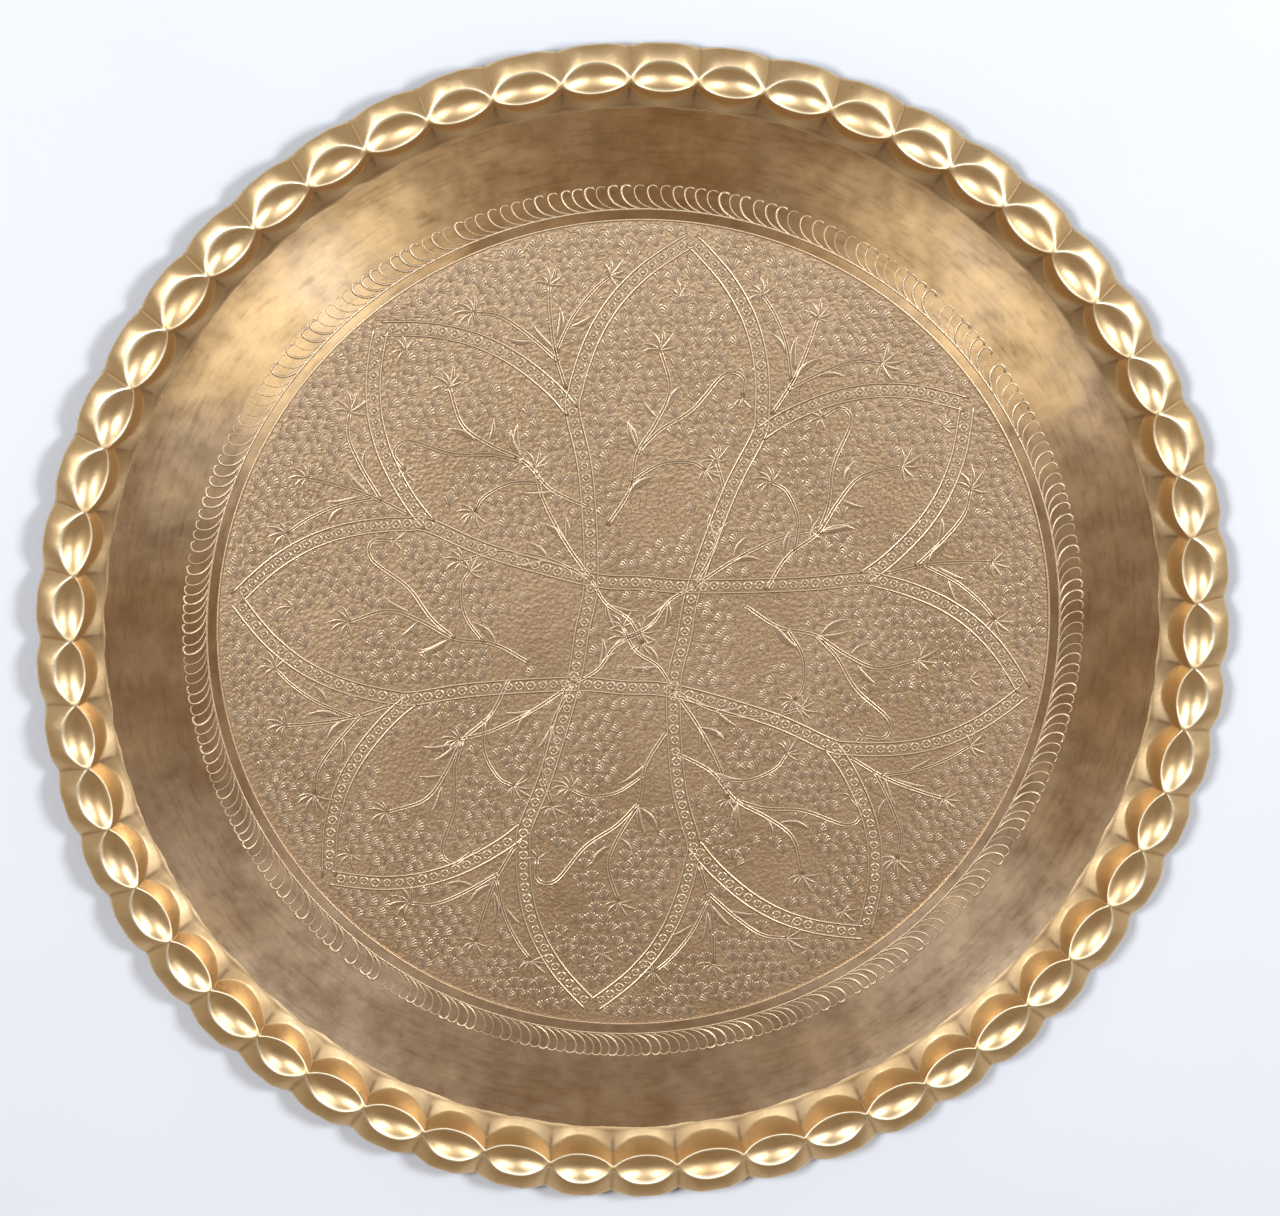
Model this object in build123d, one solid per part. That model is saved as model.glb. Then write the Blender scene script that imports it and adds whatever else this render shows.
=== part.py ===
from build123d import *
import os
from math import cos, hypot, radians, sin

# A round brass tray, raised from one sheet. Its flat floor lies on Z = 0 and is worked in rings;
# its rim is a ring of pods: a wall rises from the floor's fold, an almond-shaped dimple lies on
# top of each pod, and a flare turns down from the dimples to the bare edge.
# All sizes are in millimetres. Z is up and runs through the middle of the tray.

# Overall sizes
edge_radius = 500.0        # to the crest of a pod's outer edge
overall_height = 30.0      # from the table to the saddles between the dimples
sheet = 1.5                # thickness of the brass

# Rings of the floor, from the fold inwards
plain_field_width = 65.0
rope_border_width = 20.75
inner_ring_width = 10.25

# Rim, across the middle of a pod
pod_count = 53
foot_run = 6.5             # from the fold out to the foot of the pod's inner wall
foot_rise = 2.5
wall_run = 9.0             # from the foot out to the dimple's inner ridge
dimple_width = 26.5        # from one ridge of the dimple to the other
flare_width = 14.5         # from the dimple's outer ridge to the edge
dimple_depth = 6.0
wall_bulge = 1.2           # how far the inner wall swells towards the middle of the tray
flare_bulge = 1.0
outer_ridge_drop = 1.5     # the ridges lie this far below the saddles
inner_ridge_drop = 2.5
edge_drop = 9.0            # the edge lies this far below the saddles

# Rim, along the crease between two pods
crease_foot_run = 18.5
crease_foot_rise = 15.0
saddle_place = 11.0        # from the dimple's inner ridge out to the middle of the saddle
saddle_width = 3.0         # what is left of a dimple's width at its tips
saddle_depth = 0.3
notch_depth = 3.8          # how far the notch cuts in from the crest of the edge
notch_drop = 7.0           # and how far it lies below it

outer_ridge_radius = edge_radius - flare_width
inner_ridge_radius = outer_ridge_radius - dimple_width
fold_radius = inner_ridge_radius - wall_run - foot_run
rope_outer_radius = fold_radius - plain_field_width
rope_inner_radius = rope_outer_radius - rope_border_width
medallion_radius = rope_inner_radius - inner_ring_width
half_pitch = 180.0 / pod_count
phase = 0.375 * 2 * half_pitch      # turns the ring so that its box is centred on the axis
arc_weight = cos(radians(half_pitch))


def floor_ring(outer, inner):
    """A flat ring of the floor, or a disc where the inner radius is nothing."""
    ring = Cylinder(outer, sheet)
    if inner:
        ring -= Cylinder(inner, sheet)
    return Pos(0, 0, sheet / 2) * ring


def between(a, b, bulge):
    """The middle of the curve from a to b, raised off its chord to the left by bulge."""
    run, rise = b[0] - a[0], b[1] - a[1]
    length = hypot(run, rise)
    return ((a[0] + b[0]) / 2 - rise / length * bulge, (a[1] + b[1]) / 2 + run / length * bulge)


def rim_profile(foot, inner, outer, edge, bulges):
    """Upper side of the rim as (radius, height) points, from the fold out to the edge."""
    wall_out, dimple_down, flare_out = bulges
    return [
        (fold_radius, sheet),
        foot,
        between(foot, inner, wall_out),
        inner,
        between(inner, outer, -dimple_down),
        outer,
        between(outer, edge, flare_out),
        edge,
    ]


def crest_profile():
    """The rim cut through the middle of a pod."""
    return rim_profile(
        (fold_radius + foot_run, sheet + foot_rise),
        (inner_ridge_radius, overall_height - inner_ridge_drop),
        (outer_ridge_radius, overall_height - outer_ridge_drop),
        (edge_radius, overall_height - edge_drop),
        (wall_bulge, dimple_depth, flare_bulge),
    )


def crease_profile():
    """The rim cut along the crease between two pods."""
    saddle = inner_ridge_radius + saddle_place
    return rim_profile(
        (fold_radius + crease_foot_run, sheet + crease_foot_rise),
        (saddle - saddle_width / 2, overall_height),
        (saddle + saddle_width / 2, overall_height),
        (edge_radius - notch_depth, overall_height - edge_drop - notch_drop),
        (0, saddle_depth, 0),
    )


def underside(profile):
    """The same profile on the lower face of the sheet, mitred at its corners."""
    lower = [(fold_radius, 0.0)]
    for i in range(1, len(profile)):
        before = profile[i - 1]
        here = profile[i]
        after = profile[i + 1] if i + 1 < len(profile) else None
        run_in, rise_in = here[0] - before[0], here[1] - before[1]
        length_in = hypot(run_in, rise_in)
        normal_in = (rise_in / length_in, -run_in / length_in)
        normal_out = normal_in
        if after:
            run_out, rise_out = after[0] - here[0], after[1] - here[1]
            length_out = hypot(run_out, rise_out)
            normal_out = (rise_out / length_out, -run_out / length_out)
        middle = (normal_in[0] + normal_out[0], normal_in[1] + normal_out[1])
        reach = 2 * sheet / (middle[0] ** 2 + middle[1] ** 2)
        lower.append((here[0] + middle[0] * reach, here[1] + middle[1] * reach))
    return lower


def polar(point, angle):
    """A (radius, height) point placed at an angle round the tray."""
    return Vector(point[0] * cos(radians(angle)), point[0] * sin(radians(angle)), point[1])


def across(crease, crest):
    """Control points of a line over one pod: crease, crest, crease. A level one is a true arc."""
    start, end = polar(crease, -half_pitch), polar(crease, half_pitch)
    return [start, (polar(crest, 0) * (1 + arc_weight) * 2 - start - end) / (2 * arc_weight), end]


def skin(lines):
    """One patch of the sheet's surface, through two or three lines over the pod."""
    if len(lines) == 3:
        first, middle, last = lines
        raised = [m * 2 - (a + b) / 2 for a, m, b in zip(first, middle, last)]
        lines = [first, raised, last]
    return Face.make_bezier_surface(lines, [[1, arc_weight, 1] for _ in lines])


def crease_face(upper, lower, bands, column):
    """The flat face of a strip on one crease, where a pod meets its neighbour."""
    edges = [
        Edge.make_line(upper[i][column], lower[i][column])
        for i in (bands[0][0], bands[-1][1])
    ]
    for side in (upper, lower):
        for first, last in bands:
            start, middle, end = side[first][column], side[first + 1][column], side[last][column]
            if last - first == 1:
                edges.append(Edge.make_line(start, end))
            else:
                edges.append(Edge.make_bezier(start, middle * 2 - (start + end) / 2, end))
    return Face(Wire(edges))


def pod_strip(bands):
    """One strip of a pod, from crease to crease, as a closed solid. A band is its first and last line."""
    crest, crease = crest_profile(), crease_profile()
    upper = [across(a, b) for a, b in zip(crease, crest)]
    lower = [across(a, b) for a, b in zip(underside(crease), underside(crest))]
    faces = [skin(side[first:last + 1]) for side in (upper, lower) for first, last in bands]
    faces += [skin([upper[i], lower[i]]) for i in (bands[0][0], bands[-1][1])]
    faces += [crease_face(upper, lower, bands, column) for column in (0, 2)]
    return Solid(Shell(faces))


def round_the_rim(bands):
    """A strip repeated for every pod. The solids meet face to face at the creases."""
    strip = pod_strip(bands)
    return Compound([Rot(0, 0, 2 * half_pitch * i + 90 - phase) * strip for i in range(pod_count)])


parts = {
    "chased_medallion": floor_ring(medallion_radius, 0),
    "inner_ring": floor_ring(rope_inner_radius, medallion_radius),
    "rope_border": floor_ring(rope_outer_radius, rope_inner_radius),
    "plain_field": floor_ring(fold_radius, rope_outer_radius),
    "rim_wall": round_the_rim([(0, 1), (1, 3)]),
    "rim_dimples": round_the_rim([(3, 5)]),
    "rim_flare": round_the_rim([(5, 7)]),
}

os.makedirs("parts", exist_ok=True)
for name, part in parts.items():
    export_step(part, f"parts/{name}.step")
    print(name, round(part.volume), part.is_valid)
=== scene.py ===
from math import cos, pi, radians, sin, tau

import bpy
import numpy as np
from bpy.props import FloatProperty, FloatVectorProperty, IntProperty, PointerProperty
from mathutils import Matrix, Vector


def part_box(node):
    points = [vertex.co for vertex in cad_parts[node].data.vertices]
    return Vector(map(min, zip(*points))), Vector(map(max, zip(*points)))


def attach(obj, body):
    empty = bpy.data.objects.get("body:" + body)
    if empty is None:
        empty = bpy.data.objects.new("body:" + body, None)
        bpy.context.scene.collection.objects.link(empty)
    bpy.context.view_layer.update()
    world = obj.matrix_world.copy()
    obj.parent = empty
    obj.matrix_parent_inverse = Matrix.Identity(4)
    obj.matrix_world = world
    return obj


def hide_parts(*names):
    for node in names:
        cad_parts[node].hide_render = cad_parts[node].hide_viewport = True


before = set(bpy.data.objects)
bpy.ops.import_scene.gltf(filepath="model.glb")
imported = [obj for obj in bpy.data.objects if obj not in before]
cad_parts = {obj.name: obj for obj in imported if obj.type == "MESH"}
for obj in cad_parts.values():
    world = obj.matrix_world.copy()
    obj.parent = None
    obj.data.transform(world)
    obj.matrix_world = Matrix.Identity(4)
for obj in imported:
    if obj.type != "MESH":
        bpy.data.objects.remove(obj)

bl_info = {
    "name": "Chased Brass Tray",
    "version": (1, 0, 0),
    "blender": (4, 5, 0),
    "location": "3D View > Sidebar > Brass Tray",
    "description": "Builds a round brass tray with a chased rosette, a rope border and a rim of dimpled pods",
    "category": "Object",
}

MM = 0.001
ROOT = 0.1 * MM             # how far raised work reaches down into the sheet
LEAF_LENGTH = 26            # of the leaf that all leaves and petals are sized from, in millimetres
ROW_GAP = 0.87              # from one row of punch marks to the next, as a share of their pitch
COVE_RUN = 27 * MM          # how far inside the fold the plain field begins to turn up
COVE_RISE = 1.5 * MM        # and how much it has risen at the fold
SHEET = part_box("plain_field")[1].z
FOLD_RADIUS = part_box("plain_field")[1].x
ROPE_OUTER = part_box("rope_border")[1].x
ROPE_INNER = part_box("inner_ring")[1].x
MEDALLION_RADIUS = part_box("chased_medallion")[1].x
EDGE_RADIUS = min(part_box("rim_flare")[1].x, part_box("rim_flare")[1].y)
RIM_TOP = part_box("rim_wall")[1].z
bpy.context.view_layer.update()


# ---------------------------------------------------------------- settings

class TrayRimSettings(bpy.types.PropertyGroup):
    """Sizes of the raised rim."""

    pods: IntProperty(name="Pods", description="Dimpled pods round the rim", default=53, min=12)
    turn: FloatProperty(
        name="Turn", description="Turns the ring of pods", subtype="ANGLE",
        default=radians(90 - 0.375 * 360 / 53))
    dimple_depth: FloatProperty(
        name="Dimple depth", description="Depth of the almond dimple", unit="LENGTH", default=6.0 * MM)
    softness: FloatProperty(
        name="Ridge softness", description="Rounding of the hammered ridges", unit="LENGTH",
        default=1.25 * MM)
    uneven: FloatProperty(
        name="Unevenness", description="How far the hammering strays", unit="LENGTH", default=1.6 * MM)
    fold_stray: FloatProperty(
        name="Fold stray", description="How far the fold strays from its circle", unit="LENGTH",
        default=5.0 * MM)
    pitch_stray: FloatProperty(
        name="Pitch stray", description="How far the pods stray along the rim", subtype="ANGLE",
        default=radians(0.9))


class TrayFloorSettings(bpy.types.PropertyGroup):
    """Sizes of the plain field, the rope border and the inner ring."""

    wave: FloatProperty(
        name="Waviness", description="How uneven the raised sheet is", unit="LENGTH", default=0.45 * MM)
    rope_strokes: IntProperty(
        name="Rope strokes", description="Curved strokes of the rope border", default=262)
    stroke_width: FloatProperty(
        name="Stroke width", description="Width of a rope stroke", unit="LENGTH", default=1.35 * MM)
    stroke_height: FloatProperty(
        name="Stroke height", description="Height of a rope stroke", unit="LENGTH", default=0.55 * MM)
    seed: IntProperty(name="Seed", description="Layout of the hand work", default=4)


class TrayChasingSettings(bpy.types.PropertyGroup):
    """Sizes of the chased medallion."""

    ground_drop: FloatProperty(
        name="Ground drop", description="How far the ground is beaten down", unit="LENGTH", default=0.6 * MM)
    band_width: FloatProperty(
        name="Band width", description="Between the two lines of a beaded band", unit="LENGTH",
        default=11.5 * MM)
    line_width: FloatProperty(
        name="Line width", description="Width of a line", unit="LENGTH", default=1.5 * MM)
    line_height: FloatProperty(
        name="Line height", description="Height of a line", unit="LENGTH", default=0.55 * MM)
    bead_size: FloatProperty(name="Bead size", description="Across a bead", unit="LENGTH", default=7.4 * MM)
    bead_pitch: FloatProperty(
        name="Bead pitch", description="From bead to bead", unit="LENGTH", default=9.4 * MM)
    shell_size: FloatProperty(
        name="Shell size", description="Across a punched shell", unit="LENGTH", default=10.5 * MM)
    shell_pitch: FloatProperty(
        name="Shell pitch", description="From shell to shell", unit="LENGTH", default=10.8 * MM)
    dash_pitch: FloatProperty(
        name="Dash pitch", description="From one small stroke of the ground to the next", unit="LENGTH",
        default=5.4 * MM)
    seed: IntProperty(name="Seed", description="Layout of the hand work", default=7)


class TrayFinishSettings(bpy.types.PropertyGroup):
    """Colours of the brass."""

    brass: FloatVectorProperty(
        name="Brass", description="Clean brass", subtype="COLOR", default=(0.78, 0.58, 0.365),
        min=0, max=1)
    # browned brass of the field's clouds and patches, also the colour of the painted shade towards the
    # field's far side
    browned_and_shade: FloatVectorProperty(
        name="Browned brass and shade", description="Browned brass", subtype="COLOR", default=(0.72, 0.455, 0.205),
        min=0, max=1)
    chased: FloatVectorProperty(
        name="Chased brass", description="Brass of the chased work", subtype="COLOR",
        default=(0.67, 0.465, 0.26), min=0, max=1)
    chased_brown: FloatVectorProperty(
        name="Browned chasing", description="Browned brass of the chased work", subtype="COLOR",
        default=(0.56, 0.375, 0.215), min=0, max=1)
    rim: FloatVectorProperty(
        name="Rim brass", description="Polished brass of the rim", subtype="COLOR",
        default=(0.70, 0.485, 0.245), min=0, max=1)
    rim_brown: FloatVectorProperty(
        name="Browned rim", description="Browned brass of the rim", subtype="COLOR",
        default=(0.58, 0.375, 0.165), min=0, max=1)
    # dark colour of dirt, grit and brushing grain, also used for the painted shade in the rim's creases and
    # at the foot of the chased work
    dark: FloatVectorProperty(
        name="Dirt and shade", description="Dirt, grain and painted shade in the hollows", subtype="COLOR",
        default=(0.16, 0.09, 0.045), min=0, max=1)


class TrayStageSettings(bpy.types.PropertyGroup):
    """Floor, lights and camera."""

    floor_colour: FloatVectorProperty(
        name="Floor", description="Colour of the floor", subtype="COLOR", default=(0.66, 0.635, 0.60),
        min=0, max=1)
    key_power: FloatProperty(
        name="Key light", description="Power of the large soft lights", unit="POWER", default=150.0)
    distance: FloatProperty(
        name="Camera distance", description="From the tray to the camera", unit="LENGTH", default=4.5)
    tilt: FloatProperty(
        name="Camera tilt", description="Towards the tray's far edge", subtype="ANGLE",
        default=radians(15.39))
    swing: FloatProperty(
        name="Camera swing", description="Towards the tray's left", subtype="ANGLE", default=radians(4.0))


# ---------------------------------------------------------------- mesh and node helpers

def new_object(name, points, faces, smooth=True):
    """A mesh object from points and faces."""
    mesh = bpy.data.meshes.new(name)
    mesh.from_pydata([tuple(p) for p in points], [], [tuple(int(i) for i in f) for f in faces])
    mesh.validate()
    mesh.update()
    if smooth:
        mesh.shade_smooth()
    obj = bpy.data.objects.new(name, mesh)
    bpy.context.scene.collection.objects.link(obj)
    return obj


def join_parts(parts):
    """One list of points and one of faces from several."""
    points, faces, start = [], [], 0
    for p, f in parts:
        p = np.asarray(p, float)
        points.append(p)
        faces += [[i + start for i in face] for face in f]
        start += len(p)
    return np.vstack(points), faces


def lathe(profile, steps):
    """A closed section turned once round Z. The profile is (radius, height) points, in order."""
    profile = np.asarray(profile, float)
    count = len(profile)
    angle = np.arange(steps) * tau / steps
    ring = np.stack([np.outer(np.cos(angle), profile[:, 0]), np.outer(np.sin(angle), profile[:, 0]),
                     np.tile(profile[:, 1], (steps, 1))], axis=-1).reshape(-1, 3)
    faces = []
    for i in range(steps):
        j = (i + 1) % steps
        for k in range(count):
            m = (k + 1) % count
            faces.append((i * count + k, j * count + k, j * count + m, i * count + m))
    return ring, faces


def ribbon(path, width, height, base):
    """A low flat-topped ridge with a thin foot at each side, along a path of (x, y) points."""
    path = np.asarray(path, float)
    along = np.gradient(path, axis=0)
    along /= np.maximum(np.linalg.norm(along, axis=1, keepdims=True), 1e-12)
    side = np.stack([-along[:, 1], along[:, 0]], axis=1)
    width = np.broadcast_to(np.asarray(width, float), (len(path),))[:, None] / 2
    height = np.broadcast_to(np.asarray(height, float), (len(path),))
    half_section = ((1.65, 0.0), (1.6, 0.2), (0.95, 0.2), (0.5, 1.0))
    section = half_section + tuple((-share, rise) for share, rise in half_section[::-1])
    m, n = len(section), len(path)
    points = np.zeros((n, m, 3))
    for k, (share, rise) in enumerate(section):
        points[:, k, :2] = path + side * width * share
        points[:, k, 2] = base + height * rise
    faces = [tuple(range(m))]
    for i in range(n - 1):
        a, b = m * i, m * i + m
        faces += [(a + k, b + k, b + k + 1, a + k + 1) for k in range(m - 1)]
        faces.append((a + m - 1, b + m - 1, b, a))
    faces.append(tuple(range(m * n - 1, m * n - m - 1, -1)))
    return points.reshape(-1, 3), [f[::-1] for f in faces]


def smooth_path(points, count):
    """A smooth line through the points, evenly divided."""
    p = np.asarray(points, float)
    p = np.vstack([2 * p[0] - p[1], p, 2 * p[-1] - p[-2]])
    t = np.linspace(0, 1, 12, endpoint=False)[:, None]
    line = []
    for a, b, c, d in zip(p, p[1:], p[2:], p[3:]):
        line.append(0.5 * (2 * b + (c - a) * t + (2 * a - 5 * b + 4 * c - d) * t ** 2
                           + (3 * b - a - 3 * c + d) * t ** 3))
    line = np.vstack(line + [p[-2]])
    step = np.r_[0, np.cumsum(np.linalg.norm(np.diff(line, axis=0), axis=1))]
    even = np.linspace(0, step[-1], count)
    return np.stack([np.interp(even, step, line[:, k]) for k in range(2)], axis=1)


def path_length(path):
    """Length of a line of points."""
    return float(np.linalg.norm(np.diff(path, axis=0), axis=1).sum())


def new_tree(name, inputs):
    """An empty Geometry Nodes tree with its named inputs."""
    tree = bpy.data.node_groups.new(name, "GeometryNodeTree")
    tree.interface.new_socket("Geometry", in_out="INPUT", socket_type="NodeSocketGeometry")
    for label, kind, value in inputs:
        socket = tree.interface.new_socket(label, in_out="INPUT", socket_type="NodeSocket" + kind)
        if value is not None:
            socket.default_value = value
    tree.interface.new_socket("Geometry", in_out="OUTPUT", socket_type="NodeSocketGeometry")
    return tree, tree.nodes.new("NodeGroupInput").outputs


def add(tree, kind, links=None, **settings):
    """One node, with its settings and what its sockets are fed or set to."""
    made = tree.nodes.new(kind)
    for key, value in settings.items():
        setattr(made, key, value)
    for key, value in (links or {}).items():
        if isinstance(value, bpy.types.NodeSocket):
            tree.links.new(value, made.inputs[key])
        else:
            made.inputs[key].default_value = value
    return made


def number(tree, operation, a, b=0.0, c=None):
    """A Math node's result."""
    links = {0: a, 1: b}
    if c is not None:
        links[2] = c
    return add(tree, "ShaderNodeMath", links, operation=operation).outputs[0]


def vector(tree, operation, a, b=(0, 0, 0)):
    """A Vector Math node's result."""
    return add(tree, "ShaderNodeVectorMath", {0: a, 1: b}, operation=operation).outputs[0]


def scaled(tree, a, share):
    """A vector made longer or shorter."""
    return add(tree, "ShaderNodeVectorMath", {0: a, "Scale": share}, operation="SCALE").outputs[0]


def axis_of(tree, place, axis):
    """One of a vector's three numbers."""
    return add(tree, "ShaderNodeSeparateXYZ", {0: place}).outputs[axis]


def around(tree, place):
    """Distance from the tray's middle line, and which way is outward."""
    parts = add(tree, "ShaderNodeSeparateXYZ", {0: place}).outputs
    flat = add(tree, "ShaderNodeCombineXYZ", {"X": parts["X"], "Y": parts["Y"]}).outputs[0]
    radius = add(tree, "ShaderNodeVectorMath", {0: flat}, operation="LENGTH").outputs["Value"]
    return radius, vector(tree, "NORMALIZE", flat)


def attribute(tree, name, kind="FLOAT"):
    """A stored value of the points."""
    return add(tree, "GeometryNodeInputNamedAttribute", {"Name": name}, data_type=kind).outputs[0]


def close_tree(tree, geometry, material):
    """Every tree ends alike: real geometry, then its finish."""
    real = add(tree, "GeometryNodeRealizeInstances", {0: geometry})
    done = add(tree, "GeometryNodeSetMaterial", {"Geometry": real.outputs[0], "Material": material})
    tree.links.new(done.outputs[0], tree.nodes.new("NodeGroupOutput").inputs[0])


def grow(name, base, tree, values):
    """Runs the tree on the base object and keeps the result as a plain mesh."""
    modifier = base.modifiers.new("layout", "NODES")
    modifier.node_group = tree
    for item in tree.interface.items_tree:
        if item.item_type == "SOCKET" and item.in_out == "INPUT" and item.name in values:
            modifier[item.identifier] = values[item.name]
    bpy.context.view_layer.update()
    shaped = base.evaluated_get(bpy.context.evaluated_depsgraph_get())
    mesh = bpy.data.meshes.new_from_object(shaped)
    while len(mesh.materials) > 1:
        mesh.materials.pop(index=0)
    mesh.polygons.foreach_set("material_index", np.zeros(len(mesh.polygons), np.int32))
    base.modifiers.clear()
    base.data = mesh
    base.name = mesh.name = name
    if not len(mesh.polygons):
        raise RuntimeError(f"{name} came out empty")
    return base


def keep(obj, slot, *nodes):
    """Ties a finished piece to the tray and hides the solids that it stands for."""
    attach(obj, "root")
    if nodes:
        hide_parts(*nodes)


def finish_with(obj, material):
    """Gives the whole object one finish."""
    obj.data.materials.clear()
    obj.data.materials.append(material)


def scatter_tree(name):
    """Puts one punched shape at each point, turned and sized one by one."""
    tree, given = new_tree(name, [
        ("Punch", "Object", None), ("Size", "Float", 1.0), ("Finish", "Material", None)])
    punch = add(tree, "GeometryNodeObjectInfo", {"Object": given["Punch"]})
    turned = add(tree, "ShaderNodeCombineXYZ", {"Z": attribute(tree, "turn")})
    placed = add(tree, "GeometryNodeInstanceOnPoints", {
        "Points": given["Geometry"],
        "Instance": punch.outputs["Geometry"],
        "Rotation": add(tree, "FunctionNodeEulerToRotation", {0: turned.outputs[0]}).outputs[0],
        "Scale": scaled(tree, attribute(tree, "size", "FLOAT_VECTOR"), given["Size"]),
    })
    close_tree(tree, placed.outputs[0], given["Finish"])
    return tree


def points_object(name, places, turns, sizes):
    """Loose points that carry a turn and a size each."""
    mesh = bpy.data.meshes.new(name)
    mesh.from_pydata([tuple(p) for p in places], [], [])
    mesh.attributes.new("turn", "FLOAT", "POINT").data.foreach_set("value", np.asarray(turns, np.float32))
    scale = np.asarray(sizes, np.float32)
    if scale.ndim == 1:
        scale = np.repeat(scale[:, None], 3, axis=1)
    mesh.attributes.new("size", "FLOAT_VECTOR", "POINT").data.foreach_set("vector", scale.ravel())
    obj = bpy.data.objects.new(name, mesh)
    bpy.context.scene.collection.objects.link(obj)
    return obj


def scatter(name, places, turns, sizes, punch, material):
    """A shape repeated at every place, as one plain mesh."""
    base = points_object(name, places, turns, sizes)
    piece = grow(name, base, scatter_tree(name + "_layout"), {
        "Punch": punch, "Size": 1.0, "Finish": material})
    bpy.data.objects.remove(punch)
    return piece


# ---------------------------------------------------------------- finishes

def new_finish(name):
    """A new material with its shader; what the patterns are placed by comes with it."""
    material = bpy.data.materials.new(name)
    material.use_nodes = True
    tree = material.node_tree
    tree.nodes.clear()
    shader = tree.nodes.new("ShaderNodeBsdfPrincipled")
    end = tree.nodes.new("ShaderNodeOutputMaterial")
    tree.links.new(shader.outputs[0], end.inputs[0])
    place = add(tree, "ShaderNodeTexCoord").outputs["Object"]
    return material, tree, shader, place


def noise(tree, where, scale, detail, roughness, colour=False):
    """A Noise Texture's value, or its colour."""
    made = add(tree, "ShaderNodeTexNoise", {
        "Vector": where, "Scale": scale, "Detail": detail, "Roughness": roughness})
    return made.outputs["Color" if colour else "Fac"]


def between(tree, value, low, high, start=0.0, end=1.0):
    """The value's range stretched to another, and held at its ends."""
    made = add(tree, "ShaderNodeMapRange", {
        "Value": value, "From Min": low, "From Max": high, "To Min": start, "To Max": end})
    return made.outputs[0]


def mix(tree, share, a, b, blend="MIX"):
    """A Mix Color node's result."""
    made = add(tree, "ShaderNodeMix", {0: share}, data_type="RGBA", blend_type=blend)
    for key, value in ((6, a), (7, b)):
        if isinstance(value, bpy.types.NodeSocket):
            tree.links.new(value, made.inputs[key])
        else:
            made.inputs[key].default_value = (*value, 1.0) if len(value) == 3 else value
    return made.outputs[2]


def polar_place(tree, place):
    """Which way is outward, and a grain that runs round the tray."""
    radius, outward = around(tree, place)
    direction = add(tree, "ShaderNodeSeparateXYZ", {0: outward}).outputs
    grain = add(tree, "ShaderNodeCombineXYZ", {
        "X": direction["X"],
        "Y": direction["Y"],
        "Z": number(tree, "MULTIPLY", radius, 260.0)}).outputs[0]
    return outward, grain


def duller_underside(tree, shader, colour, roughness, settings):
    """The side that is never polished is browner and duller."""
    facing = axis_of(tree, add(tree, "ShaderNodeNewGeometry").outputs["Normal"], "Z")
    under = between(tree, facing, -0.05, -0.45)
    tree.links.new(mix(tree, under, colour, mix(tree, 0.55, settings.browned_and_shade[:], settings.dark[:])),
                   shader.inputs["Base Color"])
    tree.links.new(number(tree, "MAXIMUM", roughness, number(tree, "MULTIPLY", under, 0.5)),
                   shader.inputs["Roughness"])


def brushed_brass(settings):
    """Plain field: brushed in circles, browned and wiped in clouds, with painted shade that browns it more
    towards the far (+Y) side, and a few dents.
    """
    if "circle_brushed_brass" in bpy.data.materials:
        return bpy.data.materials["circle_brushed_brass"]
    material, tree, shader, place = new_finish("circle_brushed_brass")
    outward, grain = polar_place(tree, place)
    streaks = noise(tree, vector(tree, "MULTIPLY", grain, (14, 14, 1)), 1.0, 4.0, 0.65)
    clouds = noise(tree, place, 7.0, 4.0, 0.6)
    patches = noise(tree, place, 28.0, 5.0, 0.65)
    # painted shade: browner towards the far (+Y) side and cleaner towards the near side, added to the random
    # clouds
    far = axis_of(tree, place, "Y")
    browned = number(tree, "ADD", between(tree, clouds, 0.35, 0.68, -0.15, 0.75),
                     between(tree, far, -0.40, 0.40, -0.35, 0.75))
    colour = mix(tree, number(tree, "MAXIMUM", browned, 0.0), settings.brass[:], settings.browned_and_shade[:])
    colour = mix(tree, between(tree, patches, 0.55, 0.8, 0.0, 0.35), colour, settings.browned_and_shade[:])
    colour = mix(tree, between(tree, streaks, 0.5, 0.75, 0.0, 0.3), colour, settings.dark[:])
    rough = between(tree, patches, 0.3, 0.75, 0.27, 0.40)
    rough = number(tree, "ADD", rough, between(tree, streaks, 0.3, 0.7, -0.03, 0.05))
    shader.inputs["Metallic"].default_value = 1.0
    shader.inputs["Anisotropic"].default_value = 0.7
    tree.links.new(outward, shader.inputs["Tangent"])
    dents = add(tree, "ShaderNodeBump", {
        "Strength": 0.35, "Distance": 0.004, "Height": noise(tree, place, 11.0, 2.0, 0.5)})
    fine = add(tree, "ShaderNodeBump", {
        "Strength": 0.12, "Distance": 0.0003, "Height": streaks, "Normal": dents.outputs[0]})
    tree.links.new(fine.outputs[0], shader.inputs["Normal"])
    duller_underside(tree, shader, colour, rough, settings)
    return material


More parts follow.
